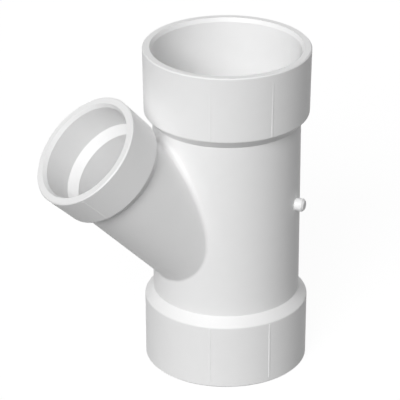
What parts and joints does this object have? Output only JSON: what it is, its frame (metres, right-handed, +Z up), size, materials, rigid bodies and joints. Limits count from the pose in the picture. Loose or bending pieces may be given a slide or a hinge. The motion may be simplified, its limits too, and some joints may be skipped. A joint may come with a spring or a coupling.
{
  "type": "lateral wye fitting",
  "caption": "White moulded PVC drainage wye: a straight run with a socket at each end and a smaller socketed branch leaving it at 45 degrees.",
  "frame": {"origin": "centre of the lower rim of the run, on the run's axis, at the plane that the fitting stands on", "axes": "+Z up the run, out of the upper socket; the branch leans 45 degrees off +Z towards -X in the XZ plane"},
  "size_m": [0.1721, 0.1006, 0.2027],
  "materials": {
    "body": "moulded white PVC, soft gloss"
  },
  "bodies": {
    "root": {"wye_body": "body"}
  },
  "joints": []
}
